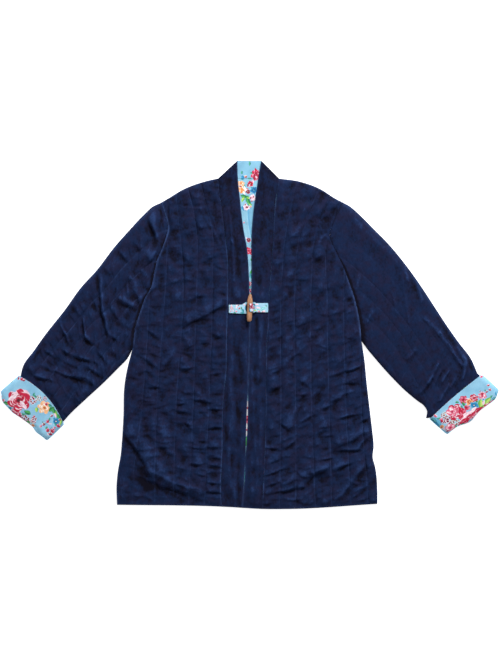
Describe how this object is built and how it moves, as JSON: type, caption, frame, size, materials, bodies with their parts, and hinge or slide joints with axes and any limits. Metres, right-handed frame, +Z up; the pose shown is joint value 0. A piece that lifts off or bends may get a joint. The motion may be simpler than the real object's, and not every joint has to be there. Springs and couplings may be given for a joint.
{
  "type": "quilted velvet jacket with a fastened toggle",
  "caption": "Padded velvet jacket laid flat on its back, quilted lengthwise, with smooth front bands, a flowered lining, turned-up cuffs and a wooden toggle fastened in a cloth loop.",
  "frame": {"origin": "on the surface that the jacket lies on, under the middle of its whole outline", "axes": "+X to the right as seen from above the front, across both sleeves; +Y from the hem towards the neck; +Z up, out of the front"},
  "size_m": [1.066, 0.7462, 0.0241],
  "materials": {
    "velvet": "dark navy cotton velvet with a short soft nap, padded and quilted",
    "flowered_cotton": "plain-woven cotton, sky blue, printed with red, pink, peach and blue flowers and green leaves",
    "toggle_wood": "turned light brown wood, satin"
  },
  "bodies": {
    "root": {"back": "velvet", "front_left": "velvet", "front_right": "velvet", "sleeve_left": "velvet", "sleeve_right": "velvet", "band_left": "velvet", "band_right": "velvet", "band_back": "flowered_cotton", "lining_back": "flowered_cotton", "cuff_left": "flowered_cotton", "cuff_right": "flowered_cotton", "toggle_tab": "flowered_cotton", "toggle_loop": "flowered_cotton", "toggle": "toggle_wood"}
  },
  "joints": []
}
